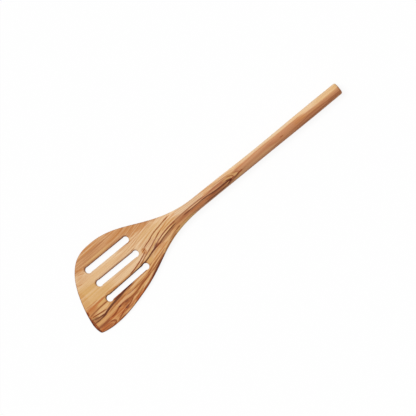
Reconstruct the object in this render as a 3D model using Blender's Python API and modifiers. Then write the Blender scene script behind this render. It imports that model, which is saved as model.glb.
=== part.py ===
"""A slotted wooden spatula, carved from one billet.

The blade lies flat on the table with its underside at z = 0.  The handle runs along +Y, and +X is the
side of the blade with the pointed front corner.  The shape is drawn from the handle's axis at x = 0
and the front-most point of the blade at y = 0, and is then moved so that the middle of its underside
lies at the origin.
"""

import math

import bmesh
import bpy
from mathutils import Vector
from mathutils.geometry import interpolate_bezier

MM = 0.001

# The handle, turned round, with a slim waist, a swell and a softly rounded end.
OVERALL_LENGTH = 320.0 * MM
HANDLE_WAIST_DIAMETER = 11.8 * MM
HANDLE_WAIST_FROM_END = 95.0 * MM
HANDLE_SWELL_DIAMETER = 12.4 * MM
HANDLE_SWELL_FROM_END = 35.0 * MM
HANDLE_END_DIAMETER = 12.1 * MM
HANDLE_END_ROUNDING = 2.0 * MM

# The neck, where the round handle begins to flatten and widen into the blade.
NECK_LEFT = 7.0 * MM
NECK_RIGHT = 5.8 * MM
NECK_THICKNESS = 12.4 * MM
NECK_FROM_FRONT = 150.0 * MM
NECK_LEFT_PULL = 49.0 * MM
NECK_RIGHT_PULL = 47.5 * MM

# The blade's outline: a round left shoulder, a slanting front edge and a pointed right corner.
# A pull is how far the curve runs towards its tangent at a knot.
LEFT_SHOULDER_OUT = 35.3 * MM
LEFT_SHOULDER_FROM_FRONT = 47.4 * MM
LEFT_FLANK_PULL = 35.5 * MM
LEFT_SHOULDER_PULL = 16.0 * MM
FRONT_KNEE_OUT = 22.0 * MM
FRONT_KNEE_FROM_FRONT = 17.0 * MM
FRONT_KNEE_HEADING = -39.0
FRONT_KNEE_PULL = 12.0 * MM
FRONT_EDGE_PULL = 18.4 * MM
FRONT_TIP_OUT = 28.0 * MM
FRONT_TIP_PULL = 7.5 * MM
CORNER_OUT = 36.8 * MM
CORNER_FROM_FRONT = 2.1 * MM
CORNER_HEADING = 53.0
CORNER_PULL = 1.9 * MM
RIGHT_SHOULDER_OUT = 39.2 * MM
RIGHT_SHOULDER_FROM_FRONT = 15.5 * MM
RIGHT_CORNER_PULL = 4.0 * MM
RIGHT_SHOULDER_PULL = 10.3 * MM
RIGHT_FLANK_OUT = 31.6 * MM
RIGHT_FLANK_FROM_FRONT = 60.0 * MM
RIGHT_FLANK_HEADING = 106.0
RIGHT_FLANK_PULL = 27.0 * MM
RIGHT_NECK_PULL = 34.2 * MM

# The thickness: one straight slope over the blade, then a smooth rise up the neck.
FRONT_THICKNESS = 2.4 * MM
BLADE_ROOT_THICKNESS = 5.4 * MM
BLADE_ROOT_FROM_FRONT = 84.0 * MM
BLADE_EDGE_ROUNDING = 0.9 * MM

# The three slots: each is a hole at either end joined by a slightly narrower channel.  They are laid out
# by eye, so each has its own place, and the right one leans towards the axis.
LEFT_SLOT_OUT = 16.6 * MM
LEFT_SLOT_FROM_FRONT = 26.5 * MM
LEFT_SLOT_LENGTH = 51.0 * MM
LEFT_CHANNEL_WIDTH = 6.1 * MM
MIDDLE_SLOT_OUT = 0.5 * MM
MIDDLE_SLOT_FROM_FRONT = 26.8 * MM
MIDDLE_SLOT_LENGTH = 49.7 * MM
MIDDLE_CHANNEL_WIDTH = 5.7 * MM
RIGHT_SLOT_OUT_IN_FRONT = 16.5 * MM
RIGHT_SLOT_OUT_BEHIND = 14.9 * MM
RIGHT_SLOT_FROM_FRONT = 25.3 * MM
RIGHT_SLOT_LENGTH = 51.3 * MM
RIGHT_CHANNEL_WIDTH = 5.2 * MM
SLOT_END_DIAMETER = 6.4 * MM
SLOT_EDGE_ROUNDING = 0.7 * MM
CUT_CLEARANCE = 2.0 * MM

# How finely the curves are divided.
EDGE_STEPS = 6
HANDLE_END_STEPS = 5
HANDLE_STEP = 12.0 * MM
NECK_STEP = 4.0 * MM
OUTLINE_STEPS = 10
SLOT_END_STEPS = 16
# The share of the handle's half-thickness that is rounded, which leaves narrow flats above and below.
ROUND_SHARE = 0.94
SMOOTH_BELOW_DEGREES = 40.0

# The oiled wood, in the colour that its figure averages to.
WOOD_COLOUR = (0.558, 0.305, 0.144, 1.0)
WOOD_ROUGHNESS = 0.55


def clear_scene():
    """Remove whatever the open file holds."""
    for obj in list(bpy.data.objects):
        bpy.data.objects.remove(obj, do_unlink=True)


def new_collection(name):
    """Make a collection in the scene."""
    collection = bpy.data.collections.new(name)
    bpy.context.scene.collection.children.link(collection)
    return collection


def wood_material():
    """The oiled wood as one Principled material."""
    material = bpy.data.materials.new("olive_wood")
    material.use_nodes = True
    shader = material.node_tree.nodes["Principled BSDF"]
    shader.inputs["Base Color"].default_value = WOOD_COLOUR
    shader.inputs["Roughness"].default_value = WOOD_ROUGHNESS
    shader.inputs["Metallic"].default_value = 0.0
    return material


def mix(first, second, share):
    """The value that lies this share of the way from the first to the second."""
    return first + (second - first) * share


def ease(value, start, end):
    """A smooth step from 0 at start to 1 at end, level at both."""
    share = min(max((value - start) / (end - start), 0.0), 1.0)
    return share * share * (3.0 - 2.0 * share)


def towards(degrees, length):
    """A plan vector of this length, turned counter-clockwise from +X."""
    angle = math.radians(degrees)
    return Vector((math.cos(angle), math.sin(angle))) * length


def blade_knots():
    """The blade's outline from neck to neck, counter-clockwise: point, heading, pull before and after."""
    return [
        ((-NECK_LEFT, NECK_FROM_FRONT), -90.0, 0.0, NECK_LEFT_PULL),
        ((-LEFT_SHOULDER_OUT, LEFT_SHOULDER_FROM_FRONT), -90.0, LEFT_FLANK_PULL, LEFT_SHOULDER_PULL),
        ((-FRONT_KNEE_OUT, FRONT_KNEE_FROM_FRONT), FRONT_KNEE_HEADING, FRONT_KNEE_PULL, FRONT_EDGE_PULL),
        ((FRONT_TIP_OUT, 0.0), 0.0, FRONT_TIP_PULL, CORNER_PULL),
        ((CORNER_OUT, CORNER_FROM_FRONT), CORNER_HEADING, CORNER_PULL, CORNER_PULL),
        ((RIGHT_SHOULDER_OUT, RIGHT_SHOULDER_FROM_FRONT), 90.0, RIGHT_CORNER_PULL, RIGHT_SHOULDER_PULL),
        ((RIGHT_FLANK_OUT, RIGHT_FLANK_FROM_FRONT), RIGHT_FLANK_HEADING, RIGHT_FLANK_PULL, RIGHT_NECK_PULL),
        ((NECK_RIGHT, NECK_FROM_FRONT), 90.0, NECK_RIGHT_PULL, 0.0),
    ]


def curve_between(knot, following, steps):
    """Points along the curve that joins two knots, both ends included."""
    start = Vector(knot[0])
    end = Vector(following[0])
    start_handle = start + towards(knot[1], knot[3])
    end_handle = end - towards(following[1], following[2])
    return interpolate_bezier(start, start_handle, end_handle, end, steps + 1)


def blade_outline():
    """The blade's outline from neck to neck, with its flanks divided evenly along the neck."""
    knots = blade_knots()
    flank_steps = math.ceil((NECK_FROM_FRONT - RIGHT_FLANK_FROM_FRONT) / NECK_STEP)
    outline = []
    for index, knot in enumerate(knots[:-1]):
        is_flank = index in (0, len(knots) - 2)
        points = curve_between(knot, knots[index + 1], flank_steps if is_flank else OUTLINE_STEPS)
        outline.extend(points[:-1])
    outline.append(Vector(knots[-1][0]))
    return outline, flank_steps


def handle_half_width(along):
    """Half the handle's thickness at a distance from the front, beyond the neck."""
    waist = OVERALL_LENGTH - HANDLE_WAIST_FROM_END
    swell = OVERALL_LENGTH - HANDLE_SWELL_FROM_END
    width = mix(NECK_LEFT + NECK_RIGHT, HANDLE_WAIST_DIAMETER, ease(along, NECK_FROM_FRONT, waist))
    width += (HANDLE_SWELL_DIAMETER - HANDLE_WAIST_DIAMETER) * ease(along, waist, swell)
    width += (HANDLE_END_DIAMETER - HANDLE_SWELL_DIAMETER) * ease(along, swell, OVERALL_LENGTH)
    return width / 2.0


def handle_centre(along):
    """How far the handle's middle lies to the right of its axis."""
    waist = OVERALL_LENGTH - HANDLE_WAIST_FROM_END
    return mix((NECK_RIGHT - NECK_LEFT) / 2.0, 0.0, ease(along, NECK_FROM_FRONT, waist))


def top_height(along):
    """The height of the upper face: a straight slope, a smooth rise up the neck, then the handle."""
    slope = (BLADE_ROOT_THICKNESS - FRONT_THICKNESS) / BLADE_ROOT_FROM_FRONT
    if along <= BLADE_ROOT_FROM_FRONT:
        return FRONT_THICKNESS + slope * along
    rise = ease(along, BLADE_ROOT_FROM_FRONT, NECK_FROM_FRONT)
    if along <= NECK_FROM_FRONT:
        return mix(FRONT_THICKNESS + slope * along, NECK_THICKNESS, rise)
    neck_excess = NECK_THICKNESS - (NECK_LEFT + NECK_RIGHT)
    waist = OVERALL_LENGTH - HANDLE_WAIST_FROM_END
    return 2.0 * handle_half_width(along) + mix(neck_excess, 0.0, ease(along, NECK_FROM_FRONT, waist))


def edge_rounding(along, half_width):
    """How far the long edges are rounded in plan and in height: ever more up the neck, to a round handle."""
    share = ease(along, BLADE_ROOT_FROM_FRONT, NECK_FROM_FRONT)
    in_plan = mix(BLADE_EDGE_ROUNDING, ROUND_SHARE * half_width, share)
    in_height = mix(BLADE_EDGE_ROUNDING, ROUND_SHARE * top_height(along) / 2.0, share)
    return in_plan, in_height


def edge_column(bm, point, inward, inset, rounding):
    """Vertices up one edge of the wood: rounded below, plain in the middle and rounded above."""
    in_plan, in_height = rounding
    column = []
    for corner in (0, 1):
        for step in range(EDGE_STEPS + 1):
            angle = math.pi / 2.0 * (corner + step / EDGE_STEPS)
            plan = point + inward * (in_plan - inset) * (1.0 - math.sin(angle))
            if corner == 0:
                height = inset + (in_height - inset) * (1.0 - math.cos(angle))
            else:
                height = top_height(plan.y) - inset - (in_height - inset) * (1.0 + math.cos(angle))
            column.append(bm.verts.new((plan.x, plan.y, height)))
    return column


def outline_columns(bm, outline):
    """A column at each point of the blade's outline, set square to it."""
    columns = []
    for index, point in enumerate(outline):
        before = outline[max(index - 1, 0)]
        after = outline[min(index + 1, len(outline) - 1)]
        direction = (after - before).normalized()
        inward = Vector((-direction.y, direction.x))
        half_width = abs(point.x - handle_centre(point.y))
        columns.append(edge_column(bm, point, inward, 0.0, edge_rounding(point.y, half_width)))
    return columns


def handle_columns(bm, side):
    """Columns along one side of the handle, from just past the neck to its rounded end."""
    columns = []
    straight_end = OVERALL_LENGTH - HANDLE_END_ROUNDING
    steps = math.ceil((straight_end - NECK_FROM_FRONT) / HANDLE_STEP)
    stations = []
    for step in range(1, steps + 1):
        stations.append((mix(NECK_FROM_FRONT, straight_end, step / steps), 0.0))
    for step in range(1, HANDLE_END_STEPS + 1):
        angle = math.pi / 2.0 * step / HANDLE_END_STEPS
        along = straight_end + HANDLE_END_ROUNDING * math.sin(angle)
        stations.append((along, HANDLE_END_ROUNDING * (1.0 - math.cos(angle))))
    for along, inset in stations:
        half_width = handle_half_width(along)
        inward = Vector((-side, 0.0))
        point = Vector((handle_centre(along) + side * (half_width - inset), along))
        columns.append(edge_column(bm, point, inward, inset, edge_rounding(along, half_width)))
    return columns


def build_body(name, collection, material):
    """The whole spatula before its slots: edge columns joined round the outline and across it."""
    bm = bmesh.new()
    outline, flank_steps = blade_outline()
    left_handle = handle_columns(bm, -1.0)
    right_handle = handle_columns(bm, 1.0)
    columns = left_handle[::-1] + outline_columns(bm, outline) + right_handle
    for column, following in zip(columns, columns[1:]):
        for step in range(len(column) - 1):
            bm.faces.new((column[step], following[step], following[step + 1], column[step + 1]))
    crossings = len(left_handle) + flank_steps
    for step in range(crossings):
        left, next_left = columns[step], columns[step + 1]
        right, next_right = columns[-1 - step], columns[-2 - step]
        bm.faces.new((left[-1], next_left[-1], next_right[-1], right[-1]))
        bm.faces.new((right[0], next_right[0], next_left[0], left[0]))
    front = columns[crossings:len(columns) - crossings]
    bm.faces.new([column[-1] for column in front])
    bm.faces.new([column[0] for column in reversed(front)])
    bm.faces.new(columns[0] + columns[-1][::-1])
    bmesh.ops.recalc_face_normals(bm, faces=bm.faces)
    mesh = bpy.data.meshes.new(name)
    bm.to_mesh(mesh)
    bm.free()
    mesh.materials.append(material)
    mesh.shade_smooth()
    mesh.set_sharp_from_angle(angle=math.radians(SMOOTH_BELOW_DEGREES))
    body = bpy.data.objects.new(name, mesh)
    collection.objects.link(body)
    return body


def arc(centre, radius, start, sweep, steps):
    """Plan points along an arc, counter-clockwise, with angles in radians."""
    points = []
    for step in range(steps + 1):
        angle = start + sweep * step / steps
        points.append((centre[0] + radius * math.cos(angle), centre[1] + radius * math.sin(angle)))
    return points


def slot_outline(offsets, from_front, length, channel_width):
    """The plan of one slot: two round ends joined by the sides of the channel."""
    radius = SLOT_END_DIAMETER / 2.0
    shoulder = math.acos(channel_width / SLOT_END_DIAMETER)
    sweep = math.pi + 2.0 * shoulder
    front = Vector((offsets[0], from_front + radius))
    back = Vector((offsets[1], from_front + length - radius))
    lean = math.atan2(front.x - back.x, back.y - front.y)
    points = arc(front, radius, lean + math.pi - shoulder, sweep, SLOT_END_STEPS)
    points += arc(back, radius, lean - shoulder, sweep, SLOT_END_STEPS)
    return points


def slot_cutter(name, collection, points):
    """A closed block over this plan, taller than the blade."""
    curve = bpy.data.curves.new(name + "_outline", "CURVE")
    curve.dimensions = "2D"
    curve.fill_mode = "BOTH"
    curve.extrude = BLADE_ROOT_THICKNESS / 2.0 + CUT_CLEARANCE
    spline = curve.splines.new("POLY")
    spline.points.add(len(points) - 1)
    for target, point in zip(spline.points, points):
        target.co = (point[0], point[1], 0.0, 1.0)
    spline.use_cyclic_u = True
    drawn = bpy.data.objects.new(name + "_outline", curve)
    drawn.location.z = BLADE_ROOT_THICKNESS / 2.0
    collection.objects.link(drawn)
    depsgraph = bpy.context.evaluated_depsgraph_get()
    mesh = bpy.data.meshes.new_from_object(drawn.evaluated_get(depsgraph))
    bm = bmesh.new()
    bm.from_mesh(mesh)
    bmesh.ops.remove_doubles(bm, verts=bm.verts, dist=0.00001)
    bmesh.ops.recalc_face_normals(bm, faces=bm.faces)
    bm.to_mesh(mesh)
    bm.free()
    cutter = bpy.data.objects.new(name, mesh)
    collection.objects.link(cutter)
    cutter.matrix_world = drawn.matrix_world
    bpy.data.objects.remove(drawn, do_unlink=True)
    cutter.hide_render = True
    cutter.display_type = "WIRE"
    return cutter


def cut_slots(body, collection):
    """Cut the three slots through the blade and ease their edges."""
    left = (-LEFT_SLOT_OUT, -LEFT_SLOT_OUT)
    middle = (-MIDDLE_SLOT_OUT, -MIDDLE_SLOT_OUT)
    right = (RIGHT_SLOT_OUT_IN_FRONT, RIGHT_SLOT_OUT_BEHIND)
    slots = (
        ("left_slot", slot_outline(left, LEFT_SLOT_FROM_FRONT, LEFT_SLOT_LENGTH, LEFT_CHANNEL_WIDTH)),
        ("middle_slot", slot_outline(middle, MIDDLE_SLOT_FROM_FRONT, MIDDLE_SLOT_LENGTH, MIDDLE_CHANNEL_WIDTH)),
        ("right_slot", slot_outline(right, RIGHT_SLOT_FROM_FRONT, RIGHT_SLOT_LENGTH, RIGHT_CHANNEL_WIDTH)),
    )
    cutters = []
    for name, points in slots:
        cutter = slot_cutter(name, collection, points)
        cut = body.modifiers.new(name, "BOOLEAN")
        cut.operation = "DIFFERENCE"
        cut.solver = "EXACT"
        cut.object = cutter
        cutters.append(cutter)
    easing = body.modifiers.new("eased_slot_edges", "BEVEL")
    easing.limit_method = "ANGLE"
    easing.angle_limit = math.radians(60.0)
    easing.width = SLOT_EDGE_ROUNDING
    easing.segments = 2
    return cutters


def centre_on_origin(body, others):
    """Place the middle of the underside at the origin, and move the cutters with it."""
    corners = [Vector(corner) for corner in body.bound_box]
    lowest = Vector([min(corner[axis] for corner in corners) for axis in range(3)])
    highest = Vector([max(corner[axis] for corner in corners) for axis in range(3)])
    offset = Vector((-(lowest.x + highest.x) / 2.0, -(lowest.y + highest.y) / 2.0, -lowest.z))
    for obj in [body] + others:
        obj.location += offset


def main():
    """Build the spatula."""
    clear_scene()
    parts = new_collection("slotted_spatula")
    cutter_collection = new_collection("cutters")
    body = build_body("spatula", parts, wood_material())
    cutters = cut_slots(body, cutter_collection)
    bpy.context.view_layer.update()
    centre_on_origin(body, cutters)


main()
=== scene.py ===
"""The looks of a slotted wooden spatula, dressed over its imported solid.

One piece of wood stands for the solid: a finely divided body whose edges are profiles carried round the
plan, and an oiled olive wood whose veins are drawn through it in the tool's own millimetres.
"""

import logging
import math
from collections.abc import Callable
from dataclasses import dataclass
from enum import Enum

import bpy
import numpy as np
from mathutils.geometry import delaunay_2d_cdt
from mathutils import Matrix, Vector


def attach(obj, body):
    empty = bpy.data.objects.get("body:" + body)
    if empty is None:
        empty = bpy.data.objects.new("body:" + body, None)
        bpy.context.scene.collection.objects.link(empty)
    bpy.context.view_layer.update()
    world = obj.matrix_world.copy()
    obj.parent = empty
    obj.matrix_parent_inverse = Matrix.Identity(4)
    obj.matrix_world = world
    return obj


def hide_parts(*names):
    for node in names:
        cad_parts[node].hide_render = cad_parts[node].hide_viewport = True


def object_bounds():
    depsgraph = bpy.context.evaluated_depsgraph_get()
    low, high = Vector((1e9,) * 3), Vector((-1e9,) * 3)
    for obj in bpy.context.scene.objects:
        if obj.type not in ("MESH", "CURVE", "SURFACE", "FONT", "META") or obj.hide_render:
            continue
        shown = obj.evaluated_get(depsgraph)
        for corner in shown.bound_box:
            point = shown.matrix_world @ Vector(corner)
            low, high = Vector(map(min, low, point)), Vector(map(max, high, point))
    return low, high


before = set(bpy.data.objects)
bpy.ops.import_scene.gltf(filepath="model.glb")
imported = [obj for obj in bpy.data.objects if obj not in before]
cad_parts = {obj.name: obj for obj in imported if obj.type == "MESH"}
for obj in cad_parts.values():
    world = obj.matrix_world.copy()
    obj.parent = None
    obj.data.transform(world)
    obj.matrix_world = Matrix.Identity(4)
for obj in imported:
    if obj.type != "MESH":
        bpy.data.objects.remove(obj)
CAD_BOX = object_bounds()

LOG = logging.getLogger("spatula")
MM = 0.001
NODE = "spatula"
# The per-vertex darkness of the cut edges: partly darker end grain, partly painted shade on edges that face
# away from the lamp.
CUT_EDGE_STAIN_AND_SHADE = "cut_edge"

# The sheet on which the wood's curves are drawn, in mm: its length, and its reach to either side.
REACH = 400.0
SPREAD = 50.0
# How near two points of the faces' plan may come before they count as one, in mm.
WELD = 1e-6
# How far from its path a vein shows in full, and where it ends, as shares of its width.
CORE = 0.25
BRIM = 0.75
# The squared distance from its middle, in its half sizes, up to which a patch shows in full.
PATCH_CORE = 0.2

Colour = tuple[float, float, float, float]
Span = tuple[float, float]
Points = tuple[Span, ...]
Scales = tuple[float, float, float]


def ease(value: np.ndarray, start: float, end: float) -> np.ndarray:
    """Give a smooth step from 0 at start to 1 at end, level at both.

    Args:
        value: Where to read the step.
        start: The value at which it is 0.
        end: The value at which it is 1.

    Returns:
        3 s^2 - 2 s^3 of the clipped share s of the way from start to end.
    """
    share = np.clip((value - start) / (end - start), 0.0, 1.0)
    return share * share * (3.0 - 2.0 * share)


def mix(first: np.ndarray, second: np.ndarray, share: np.ndarray) -> np.ndarray:
    """Give the value that lies a share of the way from first to second."""
    return first + (second - first) * share


def unit(vectors: np.ndarray) -> np.ndarray:
    """Give the plan vectors, one per row, at length 1."""
    return vectors / np.linalg.norm(vectors, axis=1)[:, None]


def resample(points: np.ndarray, spacing: float) -> np.ndarray:
    """Space points evenly along a drawn line, keeping both its ends.

    Args:
        points: Plan points of the line, in order, one per row.
        spacing: The distance wanted between neighbours.

    Returns:
        Points at equal lengths along the line.
    """
    steps = np.linalg.norm(np.diff(points, axis=0), axis=1)
    length = np.concatenate(([0.0], np.cumsum(steps)))
    wanted = np.linspace(0.0, length[-1], max(int(round(length[-1] / spacing)), 1) + 1)
    return np.column_stack([np.interp(wanted, length, points[:, axis]) for axis in (0, 1)])


def inward_normals(points: np.ndarray, closed: bool) -> np.ndarray:
    """Give the unit plan vectors that point into the wood, to the left of the way along the line.

    Args:
        points: Plan points of the line, in order, one per row.
        closed: Whether the last point is followed by the first.

    Returns:
        The direction between each point's neighbours, turned a quarter to the left.
    """
    if closed:
        along = np.roll(points, -1, axis=0) - np.roll(points, 1, axis=0)
    else:
        along = np.gradient(points, axis=0)
    along = unit(along)
    return np.column_stack((-along[:, 1], along[:, 0]))


def encloses(loop: np.ndarray, points: np.ndarray) -> np.ndarray:
    """Say which points lie inside a closed plan loop.

    Args:
        loop: The loop's points, in order.
        points: The points asked about.

    Returns:
        True where a ray along +X from the point crosses the loop an odd number of times.
    """
    start = loop
    end = np.roll(loop, -1, axis=0)
    straddles = (start[:, 1] > points[:, 1, None]) != (end[:, 1] > points[:, 1, None])
    rise = np.where(end[:, 1] == start[:, 1], 1.0, end[:, 1] - start[:, 1])
    across = start[:, 0] + (points[:, 1, None] - start[:, 1]) * (end[:, 0] - start[:, 0]) / rise
    return (straddles & (points[:, 0, None] < across)).sum(axis=1) % 2 == 1


@dataclass(frozen=True)
class Knot:
    """A point of the blade's outline with the tangent that the curve takes there, in mm and degrees."""

    x: float
    y: float
    heading: float
    pull_before: float
    pull_after: float

    def handle(self, pull: float) -> np.ndarray:
        """Give the point at this distance along the tangent."""
        angle = math.radians(self.heading)
        return np.array((self.x + pull * math.cos(angle), self.y + pull * math.sin(angle)))


@dataclass(frozen=True)
class BladePlan:
    """The blade seen from above, from the left of the neck round the front to its right, in mm."""

    knots: tuple[Knot, ...] = (
        Knot(-7.0, 150.0, -90.0, 0.0, 49.0),
        Knot(-35.3, 47.4, -90.0, 35.5, 16.0),
        Knot(-22.0, 17.0, -39.0, 12.0, 18.4),
        Knot(28.0, 0.0, 0.0, 7.5, 1.9),
        Knot(36.8, 2.1, 53.0, 1.9, 1.9),
        Knot(39.2, 15.5, 90.0, 4.0, 10.3),
        Knot(31.6, 60.0, 106.0, 27.0, 34.2),
        Knot(5.8, 150.0, 90.0, 47.5, 0.0),
    )
    fineness: int = 80

    def outline(self, spacing: float) -> np.ndarray:
        """Give the outline as evenly spaced points.

        Args:
            spacing: The distance between neighbours.

        Returns:
            Points of the cubic curve (1-t)^3 a + 3(1-t)^2 t b + 3(1-t) t^2 c + t^3 d of each pair of knots.
        """
        t = np.linspace(0.0, 1.0, self.fineness)[:, None]
        stretches = []
        for knot, following in zip(self.knots, self.knots[1:]):
            start = knot.handle(0.0)
            end = following.handle(0.0)
            pull = knot.handle(knot.pull_after)
            push = following.handle(-following.pull_before)
            cubic = (1 - t) ** 3 * start + 3 * (1 - t) ** 2 * t * pull + 3 * (1 - t) * t**2 * push + t**3 * end
            stretches.append(cubic[:-1])
        stretches.append(self.knots[-1].handle(0.0)[None, :])
        return resample(np.concatenate(stretches), spacing)

    @property
    def left(self) -> float:
        """How far the blade reaches to the left of the handle's axis."""
        return -self.knots[1].x

    @property
    def neck(self) -> float:
        """The distance from the front at which the handle begins."""
        return self.knots[0].y

    @property
    def neck_width(self) -> float:
        """The handle's width where it begins."""
        return self.knots[-1].x - self.knots[0].x

    @property
    def neck_centre(self) -> float:
        """How far the middle of the neck lies to the right of the axis."""
        return (self.knots[-1].x + self.knots[0].x) / 2.0


@dataclass(frozen=True)
class Turning:
    """The sizes of the round handle, in mm."""

    length: float
    waist_diameter: float = 11.8
    waist_from_end: float = 95.0
    swell_diameter: float = 12.4
    swell_from_end: float = 35.0
    end_diameter: float = 12.1
    end_rounding: float = 2.0
    end_crown: float = 0.3
    step: float = 1.6
    round_steps: int = 9
    face_steps: int = 9


@dataclass(frozen=True)
class Slimming:
    """How thick the wood is from front to back, how its edges are rounded and its face wavers, in mm."""

    front: float = 2.4
    root: float = 5.4
    root_at: float = 84.0
    neck: float = 12.4
    edge_rounding: float = 0.9
    round_share: float = 0.97
    waver: float = 0.05
    waver_lengths: tuple[float, float, float, float] = (7.3, 23.0, 17.0, 19.0)
    waver_from: float = 40.0
    waver_to: Span = (310.0, 290.0)


@dataclass(frozen=True)
class WearAndShade:
    """How the slots' rims are eased by use and how the cut edges show darker.

    Easings are shares of the slot's own, darknesses are shares of the soaked and shaded colour, and lengths are
    in mm. The side is the plan direction, towards the lamp, in which the wood lies from its slot where the rim
    is
    eased most and painted darkest: painted shade on the edges that face away from the lamp. Where a slot's rim
    meets the flat faces, it keeps the share slot_face of its darkness. Along the front the darker edge stands
    for end grain, and towards the right it is painted shade.
    """

    # The direction towards the lamp; the slots' edges on this side face away from it and are painted darker, as
    # shade.
    side: Span = (-0.97, -0.25)
    easing: float = 0.4
    easing_waver: float = 0.1
    easing_waver_length: float = 6.0
    slot_dark: float = 0.25
    slot_face: float = 0.3
    rim_dark: float = 0.22
    front_dark: float = 0.25
    front_power: float = 1.5
    front_right_dark: float = 0.5
    front_right_from: Span = (5.0, 20.0)
    # Painted shade along the right edge, which faces away from the lamp.
    right_painted_shade: float = 0.1
    right_from: Span = (8.0, 30.0)
    neck_fade: float = 10.0


@dataclass(frozen=True)
class SlotCut:
    """A slot: a hole at either end and a narrower channel between them, in mm."""

    front_x: float
    back_x: float
    front_y: float
    back_y: float
    channel: float
    hole: float = 6.4
    easing: float = 0.8
    fineness: int = 80

    def outline(self, spacing: float) -> np.ndarray:
        """Give the slot's edge, clockwise, so that the wood lies to the left of the way along it.

        Args:
            spacing: The distance between neighbours.

        Returns:
            Two arcs about the holes' centres, joined by the sides of the channel, as a closed loop.
        """
        radius = self.hole / 2.0
        front = np.array((self.front_x, self.front_y + radius))
        back = np.array((self.back_x, self.back_y - radius))
        lean = math.atan2(back[1] - front[1], back[0] - front[0])
        shoulder = math.acos(self.channel / self.hole)
        turn = np.linspace(0.0, math.pi + 2.0 * shoulder, self.fineness)
        arcs = []
        for centre, side in ((back, math.pi / 2.0), (front, -math.pi / 2.0)):
            angle = lean + side + shoulder - turn
            arcs.append(centre + radius * np.column_stack((np.cos(angle), np.sin(angle))))
        loop = np.concatenate((arcs[0], arcs[1], arcs[0][:1]))
        return resample(loop, spacing)[:-1]


class Patchwork:
    """Grids and triangles that share vertices, gathered into one closed mesh."""

    def __init__(self) -> None:
        """Start with nothing."""
        self.points: list[np.ndarray] = []
        self.turned: list[np.ndarray] = []
        self.faces: list[np.ndarray] = []
        self.count = 0

    def add(self, points: np.ndarray, turned: np.ndarray | float = 0.0) -> np.ndarray:
        """Take in vertices.

        Args:
            points: An array whose last axis holds x, y and z.
            turned: How dark the cut edge shows there, 0 to 1, partly painted shade; it grows as the surface
                turns from the flat faces into the edge.

        Returns:
            The vertices' numbers, in the shape of the other axes.
        """
        shape = points.shape[:-1]
        numbers = self.count + np.arange(int(np.prod(shape))).reshape(shape)
        self.points.append(points.reshape(-1, 3))
        self.turned.append(np.broadcast_to(turned, shape).ravel())
        self.count += numbers.size
        return numbers

    def grid(self, numbers: np.ndarray) -> None:
        """Join neighbours of a grid of vertices, rows and columns, with four-sided faces."""
        corners = (numbers[:-1, :-1], numbers[1:, :-1], numbers[1:, 1:], numbers[:-1, 1:])
        self.faces.append(np.stack(corners, axis=-1).reshape(-1, 4))

    def join(self, numbers: np.ndarray) -> None:
        """Take in faces, each a row of its vertices' numbers."""
        self.faces.append(numbers)

    def mesh(self, name: str) -> bpy.types.Mesh:
        """Make the mesh, with its millimetres as metres.

        Args:
            name: The mesh's name.

        Returns:
            A smooth-shaded mesh.
        """
        faces = [face for block in self.faces for face in block.tolist()]
        mesh = bpy.data.meshes.new(name)
        mesh.from_pydata((np.concatenate(self.points) * MM).tolist(), [], faces)
        mesh.attributes.new(CUT_EDGE_STAIN_AND_SHADE, "FLOAT", "POINT").data.foreach_set("value", np.concatenate(self.turned))
        mesh.shade_smooth()
        return mesh


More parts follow.
